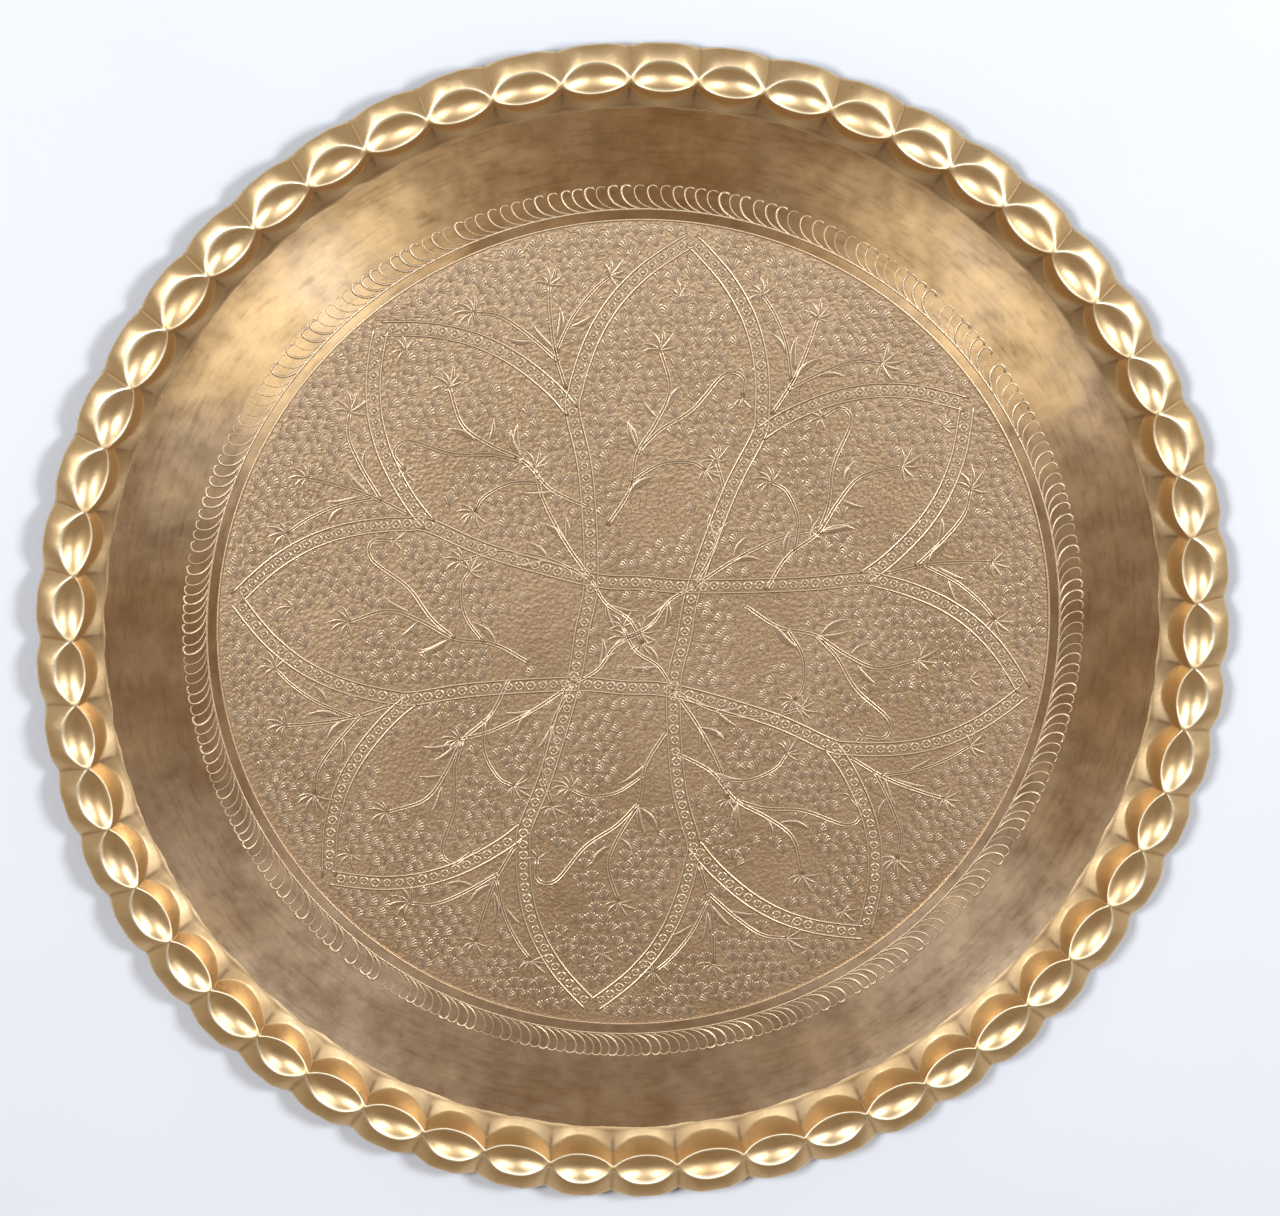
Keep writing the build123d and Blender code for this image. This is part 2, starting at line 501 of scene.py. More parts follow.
def rim_brass(settings):
    """Rim: hammered and polished, browned in clouds, with painted shade in the creases and along the fold,
    and pale rubbed ridges that are partly a painted highlight.
    """
    material, tree, shader, place = new_finish("hammered_rim_brass")
    clouds = noise(tree, place, 16.0, 4.0, 0.6)
    specks = noise(tree, place, 260.0, 3.0, 0.7)
    colour = mix(tree, between(tree, clouds, 0.38, 0.66, 0.0, 0.8), settings.rim[:], settings.rim_brown[:])
    colour = mix(tree, between(tree, specks, 0.6, 0.75, 0.0, 0.35), colour, settings.dark[:])
    # pale rubbed ridges round the dimples and along the lip: partly rubbed brass, partly a painted highlight
    rubbed_ridge_and_highlight = add(tree, "ShaderNodeAttribute", attribute_name="rubbed_ridge_and_highlight").outputs["Fac"]
    colour = mix(tree, number(tree, "MULTIPLY", rubbed_ridge_and_highlight, 0.85), colour, (1.0, 0.88, 0.62))
    # painted shade: the tone attribute darkens the creases between pods, the fold and the facets between the
    # pods' feet
    crease = add(tree, "ShaderNodeAttribute", attribute_name="tone").outputs["Fac"]
    colour = mix(tree, number(tree, "MULTIPLY", crease, 0.55), colour, settings.dark[:])
    rough = between(tree, clouds, 0.3, 0.7, 0.38, 0.50)
    rough = number(tree, "ADD", rough, number(tree, "MULTIPLY", crease, 0.15))
    rough = number(tree, "ADD", rough, number(tree, "MULTIPLY", rubbed_ridge_and_highlight, 0.06))
    shader.inputs["Metallic"].default_value = 1.0
    hammer = add(tree, "ShaderNodeBump", {
        "Strength": 0.3, "Distance": 0.0012, "Height": noise(tree, place, 70.0, 2.0, 0.5)})
    fine = add(tree, "ShaderNodeBump", {
        "Strength": 0.1, "Distance": 0.0002, "Height": specks, "Normal": hammer.outputs[0]})
    tree.links.new(fine.outputs[0], shader.inputs["Normal"])
    duller_underside(tree, shader, colour, rough, settings)
    return material


def chased_brass(settings, name, low, high, shine, pale, foot_patina_and_shade, matted):
    """Chased work: tops paler, partly polish and partly a painted highlight; the ground at their foot darker,
    partly patina and partly painted shade. Low and high are the heights of ground and tops.
    """
    material, tree, shader, place = new_finish(name)
    height = axis_of(tree, place, "Z")
    top = between(tree, height, low, high)
    clouds = noise(tree, place, 9.0, 5.0, 0.62)
    grit = noise(tree, place, 420.0, 3.0, 0.7)
    browned = between(tree, clouds, 0.36, 0.66, 0.1, 0.7)
    clean = mix(tree, browned, settings.chased[:], settings.chased_brown[:])
    # painted highlight with polish: the raised work is tinted paler; painted shade with patina: it is darker
    # towards its foot and clean at its tops
    clean = mix(tree, pale, clean, (0.95, 0.80, 0.58))
    colour = mix(tree, top, mix(tree, foot_patina_and_shade, clean, settings.dark[:]), clean)
    colour = mix(tree, between(tree, grit, 0.55, 0.8, 0.0, 0.3), colour, settings.dark[:])
    rough = between(tree, top, 0.0, 1.0, shine + 0.12, shine)
    rough = number(tree, "ADD", rough, between(tree, clouds, 0.3, 0.7, -0.05, 0.06))
    shader.inputs["Metallic"].default_value = 1.0
    cells = add(tree, "ShaderNodeTexVoronoi", {
        "Vector": mix(tree, 0.004, place, noise(tree, place, 150.0, 2.0, 0.5, colour=True), "ADD"),
        "Scale": 300.0}, feature="F1").outputs["Distance"]
    matting = add(tree, "ShaderNodeBump", {"Strength": matted, "Distance": 0.0006, "Height": cells})
    bump = add(tree, "ShaderNodeBump", {
        "Strength": 0.3, "Distance": 0.0004, "Height": noise(tree, place, 400.0, 4.0, 0.6),
        "Normal": matting.outputs[0]})
    tree.links.new(bump.outputs[0], shader.inputs["Normal"])
    duller_underside(tree, shader, colour, rough, settings)
    return material


# ---------------------------------------------------------------- rim

def cove(radius):
    """How far the plain field turns up before the fold."""
    return COVE_RISE * np.clip((radius - FOLD_RADIUS + COVE_RUN) / COVE_RUN, 0, 1) ** 2


def pod_section(settings, across):
    """Upper side of the rim at one place across a pod, as dense points and their places along it."""
    lift = SHEET / MM
    full = 1 - abs(across) ** 2.25
    fold = FOLD_RADIUS / MM
    crest = np.array([(fold, 0), (450, 2.5), (459, 26), (485.5, 27), (500, 19.5)], float)
    crease = np.array([(fold, 0), (462, 15), (468.5, 28.5), (471.5, 28.5), (496.2, 12.5)], float)
    lip = 1 - max(0.0, (abs(across) - 0.36) / 0.64) ** 1.3
    share = np.array([full, full, full, full, lip])[:, None]
    line = crease + (crest - crease) * share
    almond = max(0.0, 1 - (across / 0.9) ** 2)
    sags = (0.0, -1.5 * full, -settings.dimple_depth / MM * almond, 1.1 * lip)
    parts = [np.stack([np.linspace(fold - 3.5, fold, 8, endpoint=False),
                       np.linspace(-0.9, -0.02, 8, endpoint=False)], axis=1)]
    t = np.linspace(0, 1, 40, endpoint=False)
    for k, sag in enumerate(sags):
        a, b = line[k], line[k + 1]
        chord = (b - a) / np.linalg.norm(b - a)
        normal = np.array([-chord[1], chord[0]])
        parts.append(a + np.outer(t, b - a) + np.outer(4 * t * (1 - t) * sag, normal))
    parts.append(line[-1:])
    dense = np.vstack(parts)
    place = np.r_[np.linspace(-1, 0, 8, endpoint=False), np.linspace(0, 4, 160, endpoint=False), 4.0]
    turned_up = np.interp(dense[:, 0], [fold - 4, fold, fold + 14], [1, 1, 0])
    dense[:, 1] += lift + cove(FOLD_RADIUS) / MM * turned_up
    return dense, place


def soften(line, spread):
    """The line with its corners rounded; the ends stay."""
    step = np.r_[0, np.cumsum(np.linalg.norm(np.diff(line, axis=0), axis=1))]
    gap = step[:, None] - step[None, :]
    reach = np.minimum(spread, np.minimum(step, step[-1] - step) / 2.5 + 1e-6)
    weight = np.exp(-0.5 * (gap / reach[:, None]) ** 2)
    density = np.gradient(step)
    weight *= np.maximum(density, 1e-9)[None, :]
    return weight @ line / weight.sum(axis=1, keepdims=True)


def pod_mesh(settings):
    """One pod of the rim from crease to crease, open at both creases, as points, faces, tone and rubbed
    ridges; the tone is painted shade, the pale rubbed ridges are partly a painted highlight.
    """
    columns = np.sin(np.linspace(-1, 1, 21) * pi / 2 * 0.86) / sin(pi / 2 * 0.86)
    half_pitch = pi / settings.pods
    spots = np.unique(np.round(np.r_[
        -1, -0.5, 0, 0.12, 0.3, 0.55, 0.8, 0.93, 1.0, 1.07, 1.2, 1.38, 1.58, 1.76, 1.88, 1.95, 2.0, 2.05,
        2.12, 2.22, 2.34, 2.46, 2.58, 2.7, 2.8, 2.88, 2.95, 3.0, 3.05, 3.12, 3.24, 3.4, 3.58, 3.76, 3.9,
        4.0], 3))
    under_spots = np.r_[4.0, 3.7, 3.35, 3.05, 2.9, 2.65, 2.4, 2.1, 1.9, 1.6, 1.3, 1.0, 0.7, 0.35, 0.0, -1]
    sheet = SHEET / MM
    points, tone, rubbed_ridge_and_highlight = [], [], []
    for across in columns:
        dense, place = pod_section(settings, across)
        top = soften(dense, settings.softness / MM)
        low = soften(dense, 2.2)
        run = np.gradient(low, axis=0)
        run /= np.linalg.norm(run, axis=1, keepdims=True)
        low = low + np.stack([run[:, 1], -run[:, 0]], axis=1) * sheet
        upper = np.stack([np.interp(spots, place, top[:, k]) for k in range(2)], axis=1)
        lower = np.stack([np.interp(under_spots, place, low[:, k]) for k in range(2)], axis=1)
        lower[:, 1] = np.maximum(lower[:, 1], 0.02)
        lower[-1, 1] = lower[-2, 1] = cove(FOLD_RADIUS) / MM + 0.1
        outward = (upper[-1] - upper[-2]) / np.linalg.norm(upper[-1] - upper[-2])
        lip = (upper[-1] + lower[0]) / 2 + outward * 0.45
        section = np.vstack([upper, lip, lower])
        angle = across * half_pitch
        points.append(np.stack(
            [section[:, 0] * cos(angle), section[:, 0] * sin(angle), section[:, 1]], axis=1))
        # tone is painted shade: darker along the creases on the wall and the flare, along the fold, and on
        # the facets between the pods' feet, most near the creases
        dark = np.exp(-((1 - abs(across)) / 0.05) ** 2)
        where = np.r_[spots, 4.0, under_spots]
        on_flare = np.clip((where - 3.0) * 3, 0, 1)
        tone.append(0.45 * dark * on_flare
                    + 0.5 * dark * (where < 1.9) * (where > 0.5)
                    + 0.9 * np.exp(-((where - 0.03) / 0.09) ** 2)
                    + 1.0 * abs(across) ** 0.6 * (where > 0.05) * (where < 0.99))
        # pale rubbed ridges round each dimple and along the lip, partly rubbed brass and partly a painted
        # highlight
        rubbed_ridge_and_highlight.append(np.where(np.arange(len(where)) < len(spots), np.exp(-((where - 2) / 0.055) ** 2)
                             + np.exp(-((where - 3) / 0.055) ** 2) + 0.6 * (where > 3.93), 0))
    points, tone, rubbed_ridge_and_highlight = np.array(points) * MM, np.array(tone), np.array(rubbed_ridge_and_highlight)
    count, rows = len(columns), points.shape[1]
    faces = []
    for i in range(count - 1):
        for k in range(rows):
            m = (k + 1) % rows
            faces.append((i * rows + k, (i + 1) * rows + k, (i + 1) * rows + m, i * rows + m))
    faces = [f[::-1] for f in faces]
    return points.reshape(-1, 3), faces, tone.ravel(), rubbed_ridge_and_highlight.ravel()


def rim_tree():
    """Repeats the pod round the rim, joins the pods at their creases and adds the hand's unevenness."""
    tree, given = new_tree("rim_layout", [
        ("Pods", "Int", 53), ("Turn", "Float", 0.0), ("Unevenness", "Float", 0.001),
        ("Fold stray", "Float", 0.002), ("Pitch stray", "Float", 0.01), ("Finish", "Material", None)])
    spots = add(tree, "GeometryNodeMeshLine", {"Count": given["Pods"], "Offset": (0, 0, 0)})
    step = number(tree, "DIVIDE", tau, given["Pods"])
    angle = number(tree, "MULTIPLY_ADD", add(tree, "GeometryNodeInputIndex").outputs[0], step, given["Turn"])
    turned = add(tree, "ShaderNodeCombineXYZ", {"Z": angle})
    ring = add(tree, "GeometryNodeInstanceOnPoints", {
        "Points": spots.outputs[0], "Instance": given["Geometry"],
        "Rotation": add(tree, "FunctionNodeEulerToRotation", {0: turned.outputs[0]}).outputs[0]})
    real = add(tree, "GeometryNodeRealizeInstances", {0: ring.outputs[0]})
    whole = add(tree, "GeometryNodeMergeByDistance", {0: real.outputs[0], "Distance": 2e-5})
    place = add(tree, "GeometryNodeInputPosition").outputs[0]
    radius, outward = around(tree, place)
    slow = noise(tree, vector(tree, "MULTIPLY", outward, (1, 1, 0)), 9.0, 2.0, 0.5)
    slip = number(tree, "MULTIPLY", number(tree, "SUBTRACT", slow, 0.5), given["Pitch stray"])
    slid = add(tree, "ShaderNodeVectorRotate", {
        "Vector": place, "Angle": slip}, rotation_type="Z_AXIS").outputs[0]
    away = between(tree, radius, FOLD_RADIUS + 0.008, FOLD_RADIUS + 0.022)
    knocks = noise(tree, place, 21.0, 2.0, 0.5, colour=True)
    knock = vector(tree, "SUBTRACT", knocks, (0.5, 0.5, 0.5))
    sized = scaled(tree, knock, number(tree, "MULTIPLY", away, given["Unevenness"]))
    near = between(tree, radius, FOLD_RADIUS + 0.014, FOLD_RADIUS + 0.004)
    stray = noise(tree, vector(tree, "MULTIPLY", outward, (1, 1, 0)), 13.0, 3.0, 0.6)
    stray = number(tree, "MINIMUM", number(tree, "SUBTRACT", stray, 0.68), -0.02)
    pull = number(tree, "MULTIPLY", number(tree, "MULTIPLY", stray, near), given["Fold stray"])
    drawn = scaled(tree, outward, pull)
    ended = vector(tree, "ADD", vector(tree, "ADD", slid, sized), drawn)
    kept = vector(tree, "MAXIMUM", ended, (-1, -1, 0.0))
    kept = vector(tree, "MINIMUM", kept, (1, 1, RIM_TOP))
    moved = add(tree, "GeometryNodeSetPosition", {"Geometry": whole.outputs[0], "Position": kept})
    close_tree(tree, moved.outputs[0], given["Finish"])
    return tree


class TRAY_OT_lobed_rim(bpy.types.Operator):
    """Raises the rim: pods with almond dimples, a flare and a scalloped edge"""

    bl_idname = "tray.lobed_rim"
    bl_label = "Lobed rim"

    def execute(self, context):
        rim = context.scene.tray_rim
        points, faces, tone, rubbed_ridge_and_highlight = pod_mesh(rim)
        reach = np.hypot(points[:, 0], points[:, 1])
        inside = (EDGE_RADIUS - 1.2 * MM) / reach.max()
        blend = np.clip((reach - FOLD_RADIUS) / (reach.max() - FOLD_RADIUS), 0, 1)
        points[:, :2] *= (1 + (inside - 1) * blend)[:, None]
        shoulder = 20 * MM
        above = np.maximum(points[:, 2] - shoulder, 0)
        points[:, 2] -= above * 0.03
        pod = new_object("lobed_rim", points, faces)
        for name, values in (("tone", tone), ("rubbed_ridge_and_highlight", rubbed_ridge_and_highlight)):
            stored = pod.data.attributes.new(name, "FLOAT", "POINT")
            stored.data.foreach_set("value", values.astype(np.float32))
        piece = grow("lobed_rim", pod, rim_tree(), {
            "Pods": rim.pods, "Turn": rim.turn, "Unevenness": rim.uneven, "Fold stray": rim.fold_stray,
            "Pitch stray": rim.pitch_stray, "Finish": rim_brass(context.scene.tray_finish)})
        piece.data.shade_smooth()
        keep(piece, "rim_brass", "rim_wall", "rim_dimples", "rim_flare")
        return {"FINISHED"}


# ---------------------------------------------------------------- floor

class TRAY_OT_plain_field(bpy.types.Operator):
    """Makes the plain field between the rope border and the fold"""

    bl_idname = "tray.plain_field"
    bl_label = "Plain field"

    def execute(self, context):
        floor = context.scene.tray_floor
        steps, rings = 420, 24
        reach = np.linspace(ROPE_OUTER, FOLD_RADIUS, rings)
        profile = [(r, SHEET) for r in reach] + [
            (r, 0.0) for r in np.linspace(FOLD_RADIUS, FOLD_RADIUS - COVE_RUN, 5)] + [(ROPE_OUTER, 0.0)]
        points, faces = lathe(profile[::-1], steps)
        rng = np.random.default_rng(floor.seed)
        angle = np.arctan2(points[:, 1], points[:, 0])
        share = (np.hypot(points[:, 0], points[:, 1]) - ROPE_OUTER) / (FOLD_RADIUS - ROPE_OUTER)
        wave = np.zeros(len(points))
        for n in (2, 3, 5, 7, 9, 12, 15, 19, 24, 31):
            swell = np.cos(n * angle + rng.uniform(0, tau) + rng.uniform(-2, 2) * share)
            wave += swell * rng.uniform(0.4, 1) / n ** 0.7
        wave = (wave - wave.min()) / (wave.max() - wave.min())
        up = points[:, 2] > SHEET / 2
        points[up, 2] += (wave * floor.wave * np.sin(np.clip(share, 0, 1) * pi))[up]
        points[:, 2] += cove(np.hypot(points[:, 0], points[:, 1])) * np.where(up, 1.0, 0.9)
        piece = new_object("plain_field_sheet", points, faces)
        piece.data.set_sharp_from_angle(angle=radians(40))
        finish_with(piece, brushed_brass(context.scene.tray_finish))
        keep(piece, "brushed_brass", "plain_field")
        return {"FINISHED"}


def rope_stroke(floor):
    """One stroke of the rope border, at the top of the tray, as points and faces."""
    path = np.array([(7.6, 2.2), (6.6, 0.7), (4.8, -0.2), (2.6, -0.2), (0.6, 0.6), (-0.7, 2.4), (-1.0, 5.0),
                     (-0.4, 8.4), (1.4, 12.0), (4.6, 15.3), (9.2, 17.8), (14.0, 19.2), (18.0, 20.0)])
    path = smooth_path(path, 14)
    radius = ROPE_OUTER / MM - 1.2
    turned = np.stack([path[:, 0], radius - path[:, 1] - path[:, 0] ** 2 / (2 * radius)], axis=1) * MM
    width = floor.stroke_width * np.r_[0.7, np.ones(10), 0.9, 0.7, 0.4]
    height = floor.stroke_height * np.r_[0.7, np.ones(11), 0.8, 0.4]
    return ribbon(turned[::-1], width[::-1], height[::-1], SHEET - ROOT)


class TRAY_OT_rope_border(bpy.types.Operator):
    """Makes the rope border, a ring of hooked strokes, and the raised lines beside the inner ring"""

    bl_idname = "tray.rope_border"
    bl_label = "Rope border"

    def execute(self, context):
        floor = context.scene.tray_floor
        # strokes darker at their foot, patina and painted shade, and tinted paler, polish and painted
        # highlight
        finish = chased_brass(
            context.scene.tray_finish, "rope_stroke_brass", SHEET, SHEET + floor.stroke_height,
            shine=0.44, pale=0.15, foot_patina_and_shade=0.45, matted=0.1)
        profile = [(ROPE_OUTER, 0), (ROPE_OUTER, SHEET), (ROPE_INNER, SHEET), (ROPE_INNER, 0)]
        ground = new_object("rope_border_ground", *lathe(profile, 300), smooth=False)
        finish_with(ground, brushed_brass(context.scene.tray_finish))
        keep(ground, "chased_brass", "rope_border")
        rng = np.random.default_rng(floor.seed + 1)
        count = floor.rope_strokes
        spacing = 1 + 0.13 * np.cos(np.arange(count) * tau / count) + rng.uniform(-0.14, 0.14, count)
        turns = -np.cumsum(spacing) / spacing.sum() * tau
        stroke = new_object("rope_stroke", *rope_stroke(floor), smooth=False)
        sizes = np.stack(
            [rng.uniform(0.92, 1.08, count), np.ones(count), rng.uniform(0.8, 1.1, count)], axis=1)
        piece = scatter("rope_border_strokes", np.zeros((count, 3)), turns, sizes, stroke, finish)
        piece.data.shade_smooth()
        keep(piece, "chased_brass")
        rings = []
        half_width = 1.1 * MM
        for middle in (ROPE_INNER - 0.2 * MM, MEDALLION_RADIUS + 1.2 * MM):
            section = [(middle + x * half_width, SHEET + z * floor.stroke_height * 0.8)
                       for x, z in ((1, -0.2), (0.5, 1), (-0.5, 1), (-1, -0.2))]
            rings.append(lathe(section, 360))
        lines = new_object("ring_lines", *join_parts(rings))
        finish_with(lines, finish)
        keep(lines, "chased_brass")
        return {"FINISHED"}


class TRAY_OT_inner_ring(bpy.types.Operator):
    """Makes the inner ring, a little higher along its middle, with the plain field's brushed finish"""

    bl_idname = "tray.inner_ring"
    bl_label = "Inner ring"

    def execute(self, context):
        low, top, inner, outer = 0.0, SHEET, MEDALLION_RADIUS, ROPE_INNER
        profile = [
            (outer, low), (outer, top), ((outer + inner) / 2, top + 0.0001), (inner, top), (inner, low)]
        piece = new_object("inner_ring_band", *lathe(profile, 420))
        piece.data.set_sharp_from_angle(angle=radians(30))
        finish_with(piece, brushed_brass(context.scene.tray_finish))
        keep(piece, "burnished_brass", "inner_ring")
        return {"FINISHED"}


# ---------------------------------------------------------------- chased medallion

PETAL_TURNS = (7.9, 55.7, 100.4, 144.3, 186.4, 230.8, 275.7, 321.2)
MERGE_TURNS = (31.8, 78.0, 122.4, 165.4, 208.6, 253.3, 298.5, 344.5)
SQUARE = {"TL": (-0.104, 0.124), "TR": (0.138, 0.102), "BR": (0.089, -0.151), "BL": (-0.147, -0.129)}


def polar(turn, reach):
    """A point by its turn, clockwise from the top, and its reach."""
    return np.array([sin(radians(turn)), cos(radians(turn))]) * reach


def petal_side(tip, merge):
    """One side of a petal, from its tip in to where it meets the next petal."""
    reaches = (0.935, 0.90, 0.86, 0.82, 0.78, 0.73, 0.68, 0.63, 0.59, 0.545)
    shares = (0.0, 0.12, 0.26, 0.385, 0.50, 0.625, 0.735, 0.84, 0.92, 1.0)
    span = (merge - tip + 180) % 360 - 180
    return [polar(tip + span * s, r) for r, s in zip(reaches, shares)]


def band_paths():
    """Middle lines of the beaded bands: four long ones that cross, and the sides of four petals."""
    tips, merges = PETAL_TURNS, MERGE_TURNS
    long_bands = (
        (tips[0], merges[7], "TL", "BL", merges[4], tips[4]),
        (tips[0], merges[0], "TR", "BR", merges[3], tips[4]),
        (tips[6], merges[6], "TL", "TR", merges[1], tips[2]),
        (tips[6], merges[5], "BL", "BR", merges[2], tips[2]),
    )
    paths = []
    for tip, merge, first, second, other, end in long_bands:
        a, b = np.array(SQUARE[first]), np.array(SQUARE[second])
        start, finish = petal_side(tip, merge), petal_side(end, other)
        lean = (a - b) * 0.9
        middle = [start[-1] * 0.48 + (a + lean * 0.45) * 0.52, a, (a + b) / 2, b,
                  finish[-1] * 0.48 + (b - lean * 0.45) * 0.52]
        paths.append(start + middle + finish[::-1])
    for i in (1, 3, 5, 7):
        paths.append(petal_side(tips[i], merges[i - 1]))
        paths.append(petal_side(tips[i], merges[i]))
    paths = [np.array(p) * ROPE_INNER for p in paths]
    return [smooth_path(p, max(30, int(path_length(p) / 0.006))) for p in paths]


def offset_path(path, distance):
    """The path moved sideways by the distance."""
    along = np.gradient(path, axis=0)
    along /= np.linalg.norm(along, axis=1, keepdims=True)
    return path + np.stack([-along[:, 1], along[:, 0]], axis=1) * distance


def bead_mesh(size, height):
    """A punched bead: a low ring with a small dome in it."""
    sides = 10
    rings = [(0.59, -ROOT), (0.57, height * 0.2), (0.48, height), (0.38, height), (0.29, height * 0.15)]
    angle = np.arange(sides) * tau / sides
    points = [(cos(a) * r * size, sin(a) * r * size, z) for r, z in rings for a in angle]
    points.append((0, 0, height * 0.8))
    faces = [tuple(range(sides))[::-1]]
    for k in range(4):
        for i in range(sides):
            j = (i + 1) % sides
            faces.append((k * sides + i, k * sides + j, (k + 1) * sides + j, (k + 1) * sides + i))
    faces += [(4 * sides + i, 4 * sides + (i + 1) % sides, 5 * sides) for i in range(sides)]
    return points, faces


def shell_mesh(size, height):
    """A punched shell: a fan of ribs with a scalloped edge."""
    ribs, spread = 5, radians(40)
    points = [(0.0, -0.52 * size, -ROOT), (0.0, -0.45 * size, height * 0.15)]
    for rib in range(ribs):
        for share in (0.0, 0.27, 0.73, 1.0) if rib == 0 else (0.27, 0.73, 1.0):
            a = spread * (2 * (rib + share) / ribs - 1)
            x, y = sin(a), cos(a)
            raised = share not in (0.0, 1.0)
            reach = (0.92 if raised else 0.84) * (1 - 0.12 * (a / spread) ** 2) * size
            for out, z in ((1.0, height if raised else height * 0.12), (1.07, height * 0.2), (1.09, -ROOT)):
                points.append((x * reach * out, -0.45 * size + y * reach * out, z))
    faces = []
    columns = 3 * ribs + 1
    for i in range(columns - 1):
        a, b = 2 + 3 * i, 5 + 3 * i
        faces += [(1, b, a), (a, b, b + 1, a + 1), (a + 1, b + 1, b + 2, a + 2)]
    first, last = 2, 2 + 3 * (columns - 1)
    faces += [(0, 1, first), (0, first, first + 1, first + 2), (0, last + 2, last + 1, last), (0, last, 1)]
    faces.append(tuple([0] + [2 + 3 * i + 2 for i in range(columns)]))
    return points, faces


def leaf_mesh(length, width, height, bend):
    """A pointed leaf with raised edges and a hollow middle, from its stem at the origin along +Y."""
    share = np.array([0.0, 0.14, 0.32, 0.5, 0.68, 0.85, 1.0])
    half = np.array([0.05, 0.55, 0.95, 1.0, 0.78, 0.4, 0.06]) * width / 2
    points, faces = [], []
    for s, h in zip(share, half):
        x = bend * length * sin(pi * s * 0.9)
        rim = height * 0.7
        points += [(x - h, s * length, -ROOT), (x - h * 0.7, s * length, rim), (x, s * length, rim * 0.15),
                   (x + h * 0.7, s * length, rim), (x + h, s * length, -ROOT)]
    for i in range(len(share) - 1):
        a, b = 5 * i, 5 * i + 5
        for k in range(4):
            faces.append((a + k, a + k + 1, b + k + 1, b + k))
        faces.append((a + 4, a, b, b + 4))
    faces.append((0, 1, 2, 3, 4)[::-1])
    last = 5 * (len(share) - 1)
    faces.append((last, last + 1, last + 2, last + 3, last + 4))
    return points, faces


def sprays():
    """Stems as (path, gap), leaves as (place, turn, length), flowers as leaves with a count of petals.

    Places are shares of the inner ring's outer radius. Gaps and lengths are in millimetres.
    """
    stems, leaves, flowers = [], [], []

    def frame_at(turn, reach):
        outward = np.array([sin(radians(turn)), cos(radians(turn))])
        right = np.array([outward[1], -outward[0]])
        return outward * reach, outward, right

    def draw(origin, outward, right, points, flip):
        return [origin + right * (x * flip) + outward * y for x, y in points]

    def heading(a, b):
        d = np.array(b) - np.array(a)
        return -np.arctan2(d[0], d[1])

    for i, tip in enumerate(PETAL_TURNS):
        flip = 1 if i % 2 == 0 else -1
        origin, outward, right = frame_at(tip, 0.30 if i % 2 == 0 else 0.36)
        main = draw(origin, outward, right, [(-0.10, -0.06), (-0.06, 0.03), (-0.055, 0.12), (-0.02, 0.20),
                                             (0.0, 0.28), (-0.035, 0.37)], flip)
        side = draw(origin, outward, right, [(-0.055, 0.12), (-0.01, 0.18), (0.06, 0.24), (0.12, 0.33),
                                             (0.165, 0.33), (0.17, 0.28)], flip)
        low = draw(origin, outward, right, [(-0.06, 0.05), (0.0, 0.10), (0.07, 0.115), (0.11, 0.10)], flip)
        stems += [(main, 2.3), (side, 2.3), (low, 2.0)]
        flowers.append((main[-1], heading(main[-2], main[-1]), 19, 6))
        flowers.append((low[-1], heading(low[-2], low[-1]), 17, 7))
        flowers.append((side[-1], heading(side[-2], side[-1]), 13, 5))
        top = draw(origin, outward, right, [(-0.01, 0.50)], flip)[0]
        flowers.append((top, heading(origin, top) + 0.3, 15, 5))
        for point, aim, length in (((-0.055, 0.13), (-0.14, 0.26), 30), ((-0.055, 0.13), (-0.105, 0.28), 27),
                                   ((0.0, 0.23), (0.07, 0.36), 26), ((-0.065, 0.02), (0.01, 0.10), 30),
                                   ((-0.02, 0.21), (-0.13, 0.33), 20)):
            a, b = draw(origin, outward, right, [point, aim], flip)
            leaves.append((a, heading(a, b), length))
    for i, merge in enumerate(MERGE_TURNS):
        flip = 1 if i % 2 else -1
        origin, outward, right = frame_at(merge, 0.60)
        main = draw(origin, outward, right, [(0.0, 0.0), (0.0, 0.10), (0.015, 0.19), (0.03, 0.25)], flip)
        left = draw(
            origin, outward, right, [(0.0, 0.07), (-0.05, 0.15), (-0.10, 0.21), (-0.155, 0.235)], flip)
        right_one = draw(
            origin, outward, right, [(0.0, 0.09), (0.06, 0.16), (0.12, 0.205), (0.17, 0.23)], flip)
        stems += [(main, 2.2), (left, 2.2), (right_one, 2.0)]
        for stem, size in ((main, 17), (left, 20), (right_one, 18)):
            flowers.append((stem[-1], heading(stem[-2], stem[-1]), size, 6))
        for point, aim, length in (((0.0, 0.10), (-0.06, 0.22), 30), ((0.01, 0.12), (0.065, 0.24), 28),
                                   ((-0.04, 0.13), (-0.13, 0.17), 24), ((0.05, 0.14), (0.14, 0.165), 22)):
            a, b = draw(origin, outward, right, [point, aim], flip)
            leaves.append((a, heading(a, b), length))
    for i, corner in enumerate(("TL", "TR", "BR", "BL")):
        at = np.array(SQUARE[corner])
        spin = radians(90 * i)
        turn = Matrix.Rotation(-spin, 2)
        for points, width in ((((0.0, 0.0), (-0.06, 0.09), (-0.11, 0.19), (-0.13, 0.27)), 2.3),
                              (((0.0, 0.0), (-0.10, 0.05), (-0.21, 0.07), (-0.30, 0.05)), 2.3),
                              (((0.0, 0.0), (0.035, -0.06), (0.09, -0.10), (0.12, -0.16)), 2.0)):
            path = [at + np.array(turn @ Vector(p)) for p in points]
            stems.append((path, width))
            flowers.append((path[-1], heading(path[-2], path[-1]), 17, 6))
            leaves.append((path[1], heading(path[1], path[2]) + 0.45, 27))
            leaves.append((path[1], heading(path[1], path[2]) - 0.45, 24))
    return stems, leaves, flowers


def pointing(turn):
    """The direction of a leaf that is turned from +Y."""
    return np.array([-sin(turn), cos(turn)])


